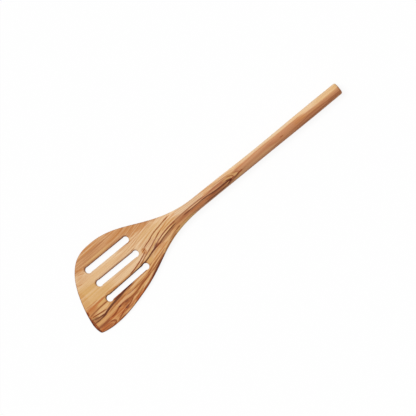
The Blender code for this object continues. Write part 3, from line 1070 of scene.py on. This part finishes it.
    Streak(EMBER, 1.2, 0.5, ((10.2, 18), (10.6, 12), (11.0, 5))),
    Streak(EMBER, 1.0, 0.6, ((14.2, 16), (14.8, 10), (15.4, 4))),
    Streak(CREAM, 2.4, 0.85, ((19.3, 25), (19.8, 18), (19.8, 11), (19.5, 6))),
    Streak(RUSSET, 1.2, 0.95, ((22.5, 20), (21.9, 15), (21.2, 10), (20.5, 3))),
    Streak(CREAM, 1.2, 1.0, ((22.9, 21), (23.4, 16), (23.0, 9))),
    Streak(DARK, 1.0, 0.6, ((22.8, 9), (22.2, 5), (21.8, 1.5)), 4.0),
    # Short marks at the front of the left margin.
    Streak(HONEY, 1.0, 0.8, ((-20.2, 26), (-23.5, 19)), 3.0),
    Streak(HONEY, 0.8, 0.8, ((-16.8, 25), (-19.0, 18)), 3.0),
    Streak(HONEY, 0.7, 0.7, ((-9.8, 17), (-11.6, 11)), 3.0),
    # A pair of fine lines behind the left slot.
    Streak(HONEY, 1.1, 0.65, ((-15.8, 103), (-15.0, 95), (-14.2, 88), (-13.1, 80), (-12.7, 72))),
    Streak(HONEY, 0.8, 0.45, ((-13.4, 97), (-12.2, 89), (-11.0, 82), (-10.4, 76))),
    # The neck's right side, up to where the rings close.
    Streak(DARK, 1.3, 0.75, ((4.7, 186), (5.1, 180), (5.2, 168), (5.2, 154)), 10.0),
    Streak(RUSSET, 3.6, 0.5, ((3.2, 181), (3.2, 174), (3.0, 166), (2.6, 157)), 10.0),
    Streak(PLUM, 1.4, 0.6, ((1.9, 186), (2.0, 178), (2.1, 170), (1.8, 163)), 8.0),
    Streak(GOLD, 0.9, 0.7, ((3.1, 185), (3.4, 180), (3.4, 175)), 4.0),
    Streak(EMBER, 2.2, 0.5, ((3.0, 168), (2.8, 160), (2.6, 150), (2.2, 138)), 10.0),
    Streak(RUSSET, 0.8, 0.6, ((1.4, 160), (1.4, 148), (1.4, 136))),
    Streak(HONEY, 0.8, 0.5, ((4.0, 154), (4.0, 142), (4.6, 130), (5.4, 124))),
    Streak(RUSSET, 1.0, 0.35, ((-1.0, 189), (-1.7, 182), (-2.0, 172), (-1.7, 162))),
    Streak(RUSSET, 0.8, 0.4, ((-2.0, 190), (-3.0, 183), (-3.4, 174), (-3.2, 166))),
    # The handle's right side.
    Streak(RUSSET, 1.2, 0.5, ((2.8, 304), (2.4, 298), (2.0, 285), (3.0, 272), (3.2, 258)), 20.0),
    Streak(RUSSET, 1.6, 0.4, ((5.2, 319), (5.2, 300), (5.5, 280), (5.8, 262)), 20.0),
    Streak(RUSSET, 0.9, 0.7, ((1.4, 251), (1.2, 247)), 3.0),
    Streak(HONEY, 0.9, 0.6, ((0.4, 280), (0.6, 272), (0.4, 265)), 6.0),
    Streak(PLUM, 2.6, 0.12, ((-0.8, 240), (-0.3, 224), (0.5, 198)), 12.0),
    # A pale band on the right side: painted light that lifts the flank which faces away from the lamp.
    Streak(CREAM, 4.2, 0.2, ((3.6, 240), (3.4, 222), (3.8, 196)), 16.0),
    Streak(DARK, 1.1, 0.6, ((1.9, 196.4), (2.8, 193.4), (3.5, 190.4), (4.1, 187.2), (4.5, 183.5)), 3.0),
    Streak(RUSSET, 3.0, 0.3, ((4.2, 324), (3.8, 313), (3.6, 303)), 8.0),
    Streak(GOLD, 1.4, 0.3, ((0.6, 297), (0.6, 286), (-0.6, 273)), 8.0),
    # The pale band down its left side: pale wood, and partly a painted highlight on the flank that faces the
    # lamp.
    Streak(IVORY, 3.4, 0.75, ((-5.2, 264), (-5.2, 245), (-5.2, 225), (-5.4, 205)), 16.0),
    Streak(IVORY, 4.4, 1.0, ((-4.0, 158), (-4.2, 146), (-4.8, 136), (-5.8, 124)), 12.0),
    Streak(IVORY, 3.6, 0.5, ((-5.0, 318), (-4.8, 300), (-4.8, 280)), 16.0),
)

# The shades and spots of blade, neck and handle.
PATCHES = (
    Patch(GOLD, 6.0, 10.0, 18.0, 36.0, 0.8),
    Patch(CREAM, 9.6, 97.0, 5.0, 24.0, 0.45, 14.0),
    Patch(GOLD, -5.0, 104.0, 8.0, 26.0, 0.5, -12.0),
    Patch(HONEY, -19.5, 88.0, 5.0, 17.0, 0.5, -24.0),
    Patch(HONEY, 2.7, 81.2, 3.8, 3.2, 1.0, -8.0),
    Patch(RUSSET, 1.5, 81.4, 1.5, 1.1, 0.7, -25.0),
    Patch(RUSSET, 2.2, 82.5, 2.8, 0.8, 0.4, 5.0),
    Patch(HONEY, -3.0, 84.5, 2.6, 6.5, 0.25),
    Patch(HONEY, -27.0, 74.0, 5.0, 15.0, 0.45, -24.0),
    Patch(EMBER, 34.2, 21.0, 7.4, 34.0, 0.5, 6.0),
    Patch(EMBER, 23.2, 34.0, 3.0, 12.0, 0.4, 8.0),
    Patch(EMBER, 26.8, 20.0, 6.0, 40.0, 0.26, 6.0),
    Patch(EMBER, 15.5, 5.0, 6.5, 12.0, 0.45, 4.0),
    Patch(RUSSET, 15.6, 2.7, 3.4, 1.4, 0.8, -12.0),
    Patch(DARK, 34.4, 1.7, 3.0, 1.5, 0.8, 12.0),
    Patch(DARK, 25.4, 0.9, 4.0, 1.2, 0.5),
    Patch(HONEY, 4.0, 7.0, 12.0, 6.0, 0.25, -8.0),
    Patch(RUSSET, 27.0, 1.1, 13.0, 2.4, 1.0),
    Patch(PLUM, 32.8, 36.2, 1.5, 3.0, 0.9, 10.0),
    Patch(PLUM, 28.4, 31.0, 0.9, 2.0, 0.8),
    Patch(PLUM, 28.6, 39.0, 1.1, 2.6, 0.6),
    Patch(PLUM, 32.2, 8.0, 2.2, 10.0, 0.35, -4.0),
    Patch(RUSSET, 5.3, 93.8, 1.9, 4.6, 0.9, 22.0),
    Patch(RUSSET, 3.3, 98.2, 1.1, 2.8, 0.8, 25.0),
    Patch(EMBER, 8.9, 98.0, 1.8, 5.0, 0.25, 14.0),
    Patch(HONEY, 2.6, 86.5, 4.8, 13.0, 0.3, 18.0),
    Patch(EMBER, 36.0, 9.0, 4.2, 11.0, 1.0),
    Patch(RUSSET, 37.4, 9.0, 3.0, 11.0, 0.7),
    Patch(RUSSET, 37.6, 27.0, 1.6, 6.0, 0.6, 8.0),
    Patch(HONEY, -32.2, 37.0, 2.8, 22.0, 0.6),
    Patch(HONEY, -25.6, 67.0, 2.2, 12.0, 0.4),
    Patch(HONEY, -16.6, 81.5, 2.0, 5.0, 0.4),
    Patch(HONEY, -12.2, 71.0, 2.8, 14.0, 0.3),
    Patch(HONEY, -18.6, 21.0, 3.6, 9.0, 0.35, 22.0),
    # A darker mark along the left slot's back right edge: painted shade at the edge.
    Patch(RUSSET, -13.4, 74.2, 0.9, 3.4, 0.6),
    Patch(CREAM, -9.2, 38.0, 3.4, 26.0, 0.45),
    Patch(GOLD, -22.6, 46.0, 1.8, 20.0, 0.5),
    Patch(RUSSET, 29.6, 39.0, 2.2, 8.0, 0.45),
    Patch(GOLD, 30.6, 29.5, 1.8, 6.5, 0.6, 10.0),
    Patch(GOLD, 34.6, 22.8, 1.8, 5.0, 0.7, 12.0),
    Patch(GOLD, 12.6, 79.8, 3.4, 4.4, 0.7),
    Patch(CREAM, 11.2, 66.0, 1.2, 8.0, 0.7, 6.0),
    Patch(EMBER, 33.6, 29.0, 3.0, 10.0, 0.9, 8.0),
    Patch(RUSSET, 22.9, 35.0, 1.6, 9.0, 0.45),
    Patch(RUSSET, 19.6, 34.0, 1.2, 7.0, 0.9),
    Patch(RUSSET, 36.2, 18.3, 1.4, 1.6, 0.7),
    Patch(RUSSET, 38.8, 12.0, 1.4, 8.0, 0.5),
    Patch(GOLD, 38.2, 20.6, 1.8, 2.0, 0.9),
    Patch(RUSSET, 1.6, 198.6, 1.5, 3.4, 0.6),
    Patch(HONEY, -1.6, 272.0, 2.2, 9.0, 0.35),
    Patch(GOLD, 1.1, 193.2, 1.3, 3.4, 0.7),
    Patch(GOLD, -1.2, 187.0, 2.6, 9.0, 0.6),
    Patch(GOLD, 4.8, 195.0, 1.4, 7.0, 0.5),
    Patch(DARK, 1.9, 186.0, 1.3, 2.0, 0.8),
    Patch(HONEY, -2.6, 200.0, 1.2, 6.0, 0.4),
    Patch(GOLD, -3.0, 309.0, 3.4, 22.0, 0.45),
)

# The rings that close on the handle, and one at the right edge near the front.
ARCHES = (
    Arch(DARK, 2.4, 187.0, 1.8, 7.0, 1.4, 0.95),
    Arch(RUSSET, 0.8, 190.4, 0.9, 8.0, 1.1, 0.7),
    Arch(RUSSET, 1.4, 197.2, 0.8, 9.0, 1.2, 0.55),
    Arch(RUSSET, 36.3, 19.6, 1.0, 6.0, 1.4, 1.0),
)

# How far a line of grain lies to the left of where it lies near the front, by distance from the front, and
# how much further to the left the lines on the right do, which fan out of the neck.
DRIFT = ((0, -0.2), (30, 0.0), (60, 0.9), (66, 1.2), (75, 2.3), (82, 4.0), (91, 6.3), (97, 8.0), (105, 9.7),
         (115, 11.5), (132, 13.3), (150, 13.5), (187, 11.8), (240, 12.6), (320, 12.0))
FAN = ((0, -1.0), (30, 0.0), (42, 1.2), (50, 2.1), (60, 4.6), (70, 7.0), (78, 8.8), (88, 10.7), (97, 12.0),
       (109, 14.5), (150, 16.0))
# Where the pinkish left margin ends, and where the golden heartwood begins on the blade and on the handle.
MARGIN = ((8, -19.5), (20, -18.5), (27, -18.0), (50, -17.0), (78, -15.4), (90, -15.0), (100, -15.3),
          (106, -14.3), (116, -12.5))
HEART = ((0, 12.6), (20, 11.4), (30, 11.2), (50, 11.0), (65, 10.0), (75, 9.0), (84, 7.5), (92, 6.0), (105, 2.5),
         (120, -0.8), (140, -1.5), (155, -1.8), (170, -2.6), (182, -3.0), (190, -2.7), (200, -3.0), (215, -3.1),
         (232, -3.2), (240, -3.0), (250, -2.9), (262, -2.9), (271, -2.6), (280, -1.8), (290, -1.4), (300, -1.3),
         (320, -1.5))


@dataclass(frozen=True)
class Figure:
    """Where a point lies in the wood, and what the grain does there.

    Lengths are in mm: across from the axis, along from the front, below the upper face, and the grain's own
    distance, which is the same all the way along a line of grain. The share is that of REACH. The rest are
    patterns from coarse to fine, and how far the point is in the golden heart and in the left margin.
    """

    across: Signal
    along: Signal
    below: Signal
    grain: Signal
    share: Signal
    broad: Signal
    rings: Signal
    lines: Signal
    heart: Signal
    margin: Signal


@dataclass(frozen=True)
class OliveWood:
    """Oiled olive wood, whose figure runs through the whole thickness.

    The scales of the patterns are clouds to the mm across the grain, along it and through the depth. A
    pair of numbers says where something begins and where it is in full: distances in mm, or values of a
    pattern.
    """

    lean: float = 0.3
    sway: Scales = (0.08, 0.03, 0.1)
    sway_reach: float = 0.8
    fan_over: Span = (13.5, 24.5)
    broad: Scales = (0.22, 0.011, 0.06)
    rings: Scales = (0.6, 0.016, 0.14)
    lines: Scales = (2.4, 0.03, 0.4)
    pores: Scales = (5.0, 0.35, 5.0)
    heart_over: Span = (-0.9, 0.9)
    margin_over: Span = (1.2, -1.2)
    # How far broad, rings and lines move the tone, and what the tone and its contrast are in the sapwood,
    # the heart and the margin, the last two as what is added to the first.
    tone_weights: tuple[float, float, float] = (0.8, 1.1, 0.8)
    tones: tuple[float, float, float] = (0.24, 0.2, 0.25)
    contrasts: tuple[float, float, float] = (0.8, 0.4, 0.1)
    # Where the handle's wood gets calmer, and by how much.
    calm_over: Span = (190.0, 215.0)
    calm: float = 0.45
    # Where the heart turns from golden into brown.
    brown_over: Span = (100.0, 145.0)
    # How far rings and lines break up the veins, and the patches.
    vein_weights: Span = (0.8, 0.5)
    patch_weights: Span = (2.2, 1.4)
    # The dark specks in the pores, and the darker cut edges: soaked end grain, and painted shade on edges that
    # face away from the lamp.
    speck_over: Span = (0.6, 0.72)
    speck_share: float = 0.18
    speck_colour: Colour = srgb(120, 72, 44)
    soaked_and_shaded_over: Span = (0.0, 0.5)
    soaked_and_shaded: float = 0.85
    soaked_and_shade_colour: Colour = srgb(136, 66, 28)
    # The gloss, and how much rougher the rings, the specks and the cut edges are.
    roughness: float = 0.5
    rougher: tuple[float, float, float] = (0.2, 0.1, 0.3)
    specular: float = 0.15
    fibre: float = 0.25
    fibre_height: float = 0.05
    pale: tuple[Colour, ...] = (
        srgb(236, 203, 164), srgb(225, 187, 143), srgb(206, 152, 102), srgb(168, 106, 64), srgb(96, 56, 40))
    golden: tuple[Colour, ...] = (
        srgb(232, 190, 134), srgb(219, 170, 110), srgb(200, 138, 80), srgb(160, 96, 54), srgb(92, 50, 32))
    brown: tuple[Colour, ...] = (
        srgb(214, 164, 118), srgb(200, 144, 100), srgb(182, 119, 80), srgb(150, 90, 58), srgb(92, 50, 34))

    def streak(self, across: Signal, along: Signal, path: Signal, front: Signal, back: Signal,
               half_taper: Signal, width: Signal) -> Signal:
        """Show a streak.

        Args:
            across: Distance to the right of the axis.
            along: Distance from the front.
            path: How far to the right its path lies here, as a share of the sheet's width.
            front: Where it begins, from the front.
            back: Where it ends.
            half_taper: How far it tapers to either side of both.
            width: Its width.

        Returns:
            1 near its path and 0 beyond the brim of its width, drawn to a point at either end.
        """
        begun = along.step(front - half_taper, front + half_taper)
        ends = begun * along.step(back + half_taper, back - half_taper)
        room = ends * width * BRIM - abs(across + SPREAD - path * (2.0 * SPREAD))
        return room.step(0.0, width * (BRIM - CORE))

    def patch(self, across: Signal, along: Signal, x: Signal, y: Signal, cosine: Signal, sine: Signal,
              half_width: Signal, half_length: Signal) -> Signal:
        """Show a patch.

        Args:
            across: Distance to the right of the axis.
            along: Distance from the front.
            x: Where its middle lies to the right of the axis.
            y: Where its middle lies from the front.
            cosine: The cosine of its turn.
            sine: The sine of its turn.
            half_width: Half its short size.
            half_length: Half its long size.

        Returns:
            1 in the inner part of the turned ellipse, easing to 0 at its rim.
        """
        aside = across - x
        ahead = along - y
        short = (aside * cosine + ahead * sine) / half_width
        long = (ahead * cosine - aside * sine) / half_length
        return (short * short + long * long).step(1.0, PATCH_CORE)

    def arch(self, across: Signal, along: Signal, x: Signal, y: Signal, bend: Signal, reach: Signal,
             width: Signal) -> Signal:
        """Show an arch.

        Args:
            across: Distance to the right of the axis.
            along: Distance from the front.
            x: Where its crown lies to the right of the axis.
            y: Where its crown lies from the front.
            bend: How fast its arms fall away forwards.
            reach: How far they reach, of which they show in full over half.
            width: Its width.

        Returns:
            1 near the parabola y = crown - bend (x - middle)^2, by the distance square to it.
        """
        aside = across - x
        off = along + aside * aside * bend - y
        steep = (aside * aside * bend * bend * 4.0 + 1.0) ** 0.5
        near = abs(off / steep).step(width * BRIM, width * CORE)
        return near * along.step(y - reach, y - reach * 0.5)

    def veining(self, graph: Graph, figure: Figure, patchy: Signal) -> dict[Vein, Signal]:
        """Read every vein.

        Args:
            graph: The material's nodes.
            figure: Where the point lies in the wood.
            patchy: Fine streaks along the grain, which break up the patches.

        Returns:
            For each colour, how strongly its veins show.
        """
        words = ("across", "along")
        ellipse = ("x", "y", "cosine", "sine", "half_width", "half_length")
        streak = shared_formula("streak", (*words, "path", "front", "back", "half_taper", "width"), self.streak)
        patch = shared_formula("patch", (*words, *ellipse), self.patch)
        arch = shared_formula("arch", (*words, "x", "y", "bend", "reach", "width"), self.arch)
        shown: dict[Vein, Signal] = {}
        here = {"across": figure.across, "along": figure.along}

        def show(formula: bpy.types.NodeTree, mark: Streak | Patch | Arch, values: dict[str, object],
                 broken_by: Signal | None = None) -> None:
            """Add a mark to those of its colour at once, so that few numbers wait for each other.

            Args:
                formula: The group that reads it.
                mark: The mark.
                values: Its sizes, by the group's words.
                broken_by: A pattern that breaks it up.
            """
            read = graph.node("ShaderNodeGroup", {"node_tree": formula}, here | values)
            read = (read * broken_by if broken_by else read) * mark.depth
            shown[mark.vein] = shown[mark.vein].at_least(read) if mark.vein in shown else read

        for vein in STREAKS:
            path = tuple((y, x) for x, y in vein.path[::-1])
            show(streak, vein, {"path": graph.curve(figure.share, path), "front": path[0][0],
                                "back": path[-1][0], "half_taper": vein.taper / 2.0, "width": vein.width})
        for vein in PATCHES:
            turn = math.radians(vein.turn)
            numbers = (vein.x, vein.y, math.cos(turn), math.sin(turn), vein.half_width, vein.half_length)
            show(patch, vein, dict(zip(ellipse, numbers)), patchy)
        for vein in ARCHES:
            show(arch, vein, {"x": vein.x, "y": vein.y, "bend": vein.bend, "reach": vein.reach,
                              "width": vein.width})
        return shown

    def figure(self, graph: Graph, body: SpatulaBody) -> Figure:
        """Work out where a point lies in the wood.

        Args:
            graph: The material's nodes.
            body: The piece whose axis, front and thickness the figure is drawn from.

        Returns:
            The figure.
        """
        place = graph.node("ShaderNodeTexCoord", output="Object")
        x, y, z = (part * (1.0 / MM) for part in graph.parts(place))
        along = y - body.front_y
        slim = body.slimming
        rise = along.step(slim.root_at, body.plan.neck)
        slope = along * ((slim.root - slim.front) / slim.root_at) + slim.front
        below = slope + (slim.neck - slope) * rise - z
        sway = graph.clouds((x, along, z), self.sway, 1.0)
        across = x - body.axis_x + below * self.lean
        share = along * (1.0 / REACH)
        drift, fan, heart_side, margin_side = (
            graph.curve(share, points) * (2.0 * SPREAD) - SPREAD for points in (DRIFT, FAN, HEART, MARGIN))
        drifted = across + drift + (sway - 0.5) * self.sway_reach
        grain = drifted + fan * drifted.step(*self.fan_over)
        broad, rings, lines = (
            graph.clouds((grain, along, below), scales) for scales in (self.broad, self.rings, self.lines))
        heart = (across - heart_side).step(*self.heart_over)
        margin = (across - margin_side).step(*self.margin_over)
        return Figure(across, along, below, grain, share, broad, rings, lines, heart, margin)

    def ground(self, graph: Graph, figure: Figure) -> Signal:
        """Colour the wood between the veins.

        Args:
            graph: The material's nodes.
            figure: Where the point lies in the wood.

        Returns:
            Pale sapwood, and a heart that is golden in the blade and brown in the handle.
        """
        calm = 1.0 - figure.along.step(*self.calm_over) * self.calm
        sap, heart, margin = self.contrasts
        lively = (figure.heart * heart + figure.margin * margin + sap) * calm
        tone = weigh((figure.broad, figure.rings, figure.lines), self.tone_weights)
        sap, heart, margin = self.tones
        tone = tone * lively + sap + figure.heart * heart + figure.margin * margin
        pale, golden, brown = (graph.ramp(tone, tones) for tones in (self.pale, self.golden, self.brown))
        heartwood = graph.colour(golden, brown, figure.along.step(*self.brown_over))
        return graph.colour(pale, heartwood, figure.heart)

    def material(self, body: SpatulaBody) -> bpy.types.Material:
        """Make the wood.

        Args:
            body: The piece that it is for, whose axis and front the figure is drawn from.

        Returns:
            The material.
        """
        material = bpy.data.materials.new("olive_wood_oiled")
        material.use_nodes = True
        graph = Graph(material.node_tree)
        figure = self.figure(graph, body)
        colour = self.ground(graph, figure)
        fine = (figure.rings, figure.lines)
        strength = weigh(fine, self.vein_weights) + 1.0
        shown = self.veining(graph, figure, weigh(fine, self.patch_weights) + 1.0)
        for vein in Vein:
            colour = graph.colour(colour, vein.value, shown[vein] * strength)
        pores = graph.clouds((figure.grain, figure.along, figure.below), self.pores)
        specks = pores.step(*self.speck_over)
        colour = graph.colour(colour, self.speck_colour, specks * self.speck_share)
        # The cut edges' darkness, partly painted shade and partly darker end grain, multiplies the colour.
        cut = graph.node("ShaderNodeAttribute", {"attribute_name": CUT_EDGE_STAIN_AND_SHADE}, output="Fac")
        soaked_and_shaded = cut.step(*self.soaked_and_shaded_over) * self.soaked_and_shaded
        colour = graph.colour(colour, self.soaked_and_shade_colour, soaked_and_shaded, "MULTIPLY")
        bump = graph.node("ShaderNodeBump", None, {
            "Strength": self.fibre,
            "Distance": self.fibre_height * MM,
            "Height": pores * 0.5 + figure.lines * 0.5,
        })
        ringed, specked, worn = self.rougher
        surface = graph.node("ShaderNodeBsdfPrincipled", None, {
            "Base Color": colour,
            "Roughness": (figure.rings - 0.5) * ringed + specks * specked + cut * worn + self.roughness,
            "Specular IOR Level": self.specular,
            "Normal": bump,
        })
        graph.close("ShaderNodeOutputMaterial", surface)
        return material


@dataclass(frozen=True)
class Studio:
    """The camera straight above, one soft lamp, an even sky and a white floor, in mm and degrees."""

    frame_width: float = 390.5
    aim: Span = (7.45, -6.8)
    turn: float = 50.63
    height: float = 900.0
    lamp: float = 2.1
    lamp_height: float = 62.0
    lamp_turn: float = 30.0
    lamp_spread: float = 34.0
    sky: float = 0.4
    floor_size: float = 4000.0
    whiteness: float = 0.9
    white: Colour = srgb(255, 255, 255)
    floor_white: Colour = srgb(250, 250, 250)

    def place_camera(self) -> bpy.types.Object:
        """Hang the camera over the tool, looking straight down.

        Returns:
            The camera.
        """
        lens = bpy.data.cameras.new("camera")
        lens.type = "ORTHO"
        lens.ortho_scale = self.frame_width * MM
        camera = bpy.data.objects.new("camera", lens)
        camera.location = (self.aim[0] * MM, self.aim[1] * MM, self.height * MM)
        camera.rotation_euler = (0.0, 0.0, math.radians(self.turn))
        bpy.context.scene.collection.objects.link(camera)
        bpy.context.scene.camera = camera
        return camera

    def place_lamp(self) -> bpy.types.Object:
        """Set a broad lamp to the left of the tool and a little to its front.

        Returns:
            The lamp.
        """
        light = bpy.data.lights.new("lamp", "SUN")
        light.energy = self.lamp
        light.angle = math.radians(self.lamp_spread)
        lamp = bpy.data.objects.new("lamp", light)
        lamp.rotation_euler = (0.0, -math.radians(90.0 - self.lamp_height), math.radians(self.lamp_turn))
        bpy.context.scene.collection.objects.link(lamp)
        return lamp

    def seen(self, graph: Graph) -> Signal:
        """Tell looking from gathering light.

        Args:
            graph: The nodes of the sky or the floor.

        Returns:
            1 where the camera, a reflection or a clear body looks, and 0 where light is gathered.
        """
        kinds = ("Camera", "Glossy", "Transmission")
        camera, glossy, clear = (graph.node("ShaderNodeLightPath", output=f"Is {kind} Ray") for kind in kinds)
        return camera.at_least(glossy).at_least(clear)

    def light_sky(self) -> None:
        """Fill the scene with even white light, behind which the background looks white."""
        world = bpy.data.worlds.new("sky")
        world.use_nodes = True
        bpy.context.scene.world = world
        graph = Graph(world.node_tree)
        strength = self.seen(graph) * (1.0 - self.sky) + self.sky
        background = graph.node("ShaderNodeBackground", None, {"Color": self.white, "Strength": strength})
        graph.close("ShaderNodeOutputWorld", background)

    def lay_floor(self) -> bpy.types.Object:
        """Lay the white floor, which keeps a faint shadow of the tool.

        Returns:
            The floor.
        """
        half = self.floor_size * MM / 2.0
        corners = [(-half, -half, 0.0), (half, -half, 0.0), (half, half, 0.0), (-half, half, 0.0)]
        mesh = bpy.data.meshes.new("floor")
        mesh.from_pydata(corners, [], [(0, 1, 2, 3)])
        material = bpy.data.materials.new("floor_white")
        material.use_nodes = True
        graph = Graph(material.node_tree)
        plain = graph.node("ShaderNodeBsdfDiffuse", None, {"Color": self.floor_white})
        glow = graph.node("ShaderNodeEmission", None, {"Color": self.white, "Strength": 1.0})
        share = self.seen(graph) * self.whiteness
        mixed = graph.node("ShaderNodeMixShader", None, {0: share, 1: plain, 2: glow})
        graph.close("ShaderNodeOutputMaterial", mixed)
        mesh.materials.append(material)
        floor = bpy.data.objects.new("floor", mesh)
        bpy.context.scene.collection.objects.link(floor)
        return floor


def main() -> None:
    """Build the tool and the studio."""
    logging.basicConfig(level=logging.INFO)
    low, high = CAD_BOX
    plan = BladePlan()
    body = SpatulaBody(
        axis_x=low[0] / MM + plan.left,
        front_y=low[1] / MM,
        turning=Turning(length=(high[1] - low[1]) / MM),
        plan=plan,
    )
    piece = body.build()
    piece.data.materials.append(OliveWood().material(body))
    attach(piece, "root")
    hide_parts(NODE)
    LOG.info("%s: %d faces", piece.name, len(piece.data.polygons))
    studio = Studio()
    for stand in (studio.place_camera(), studio.place_lamp(), studio.lay_floor()):
        LOG.info("%s placed", stand.name)
    studio.light_sky()
    bpy.context.scene.view_settings.view_transform = "Standard"


if __name__ == "__main__":
    main()
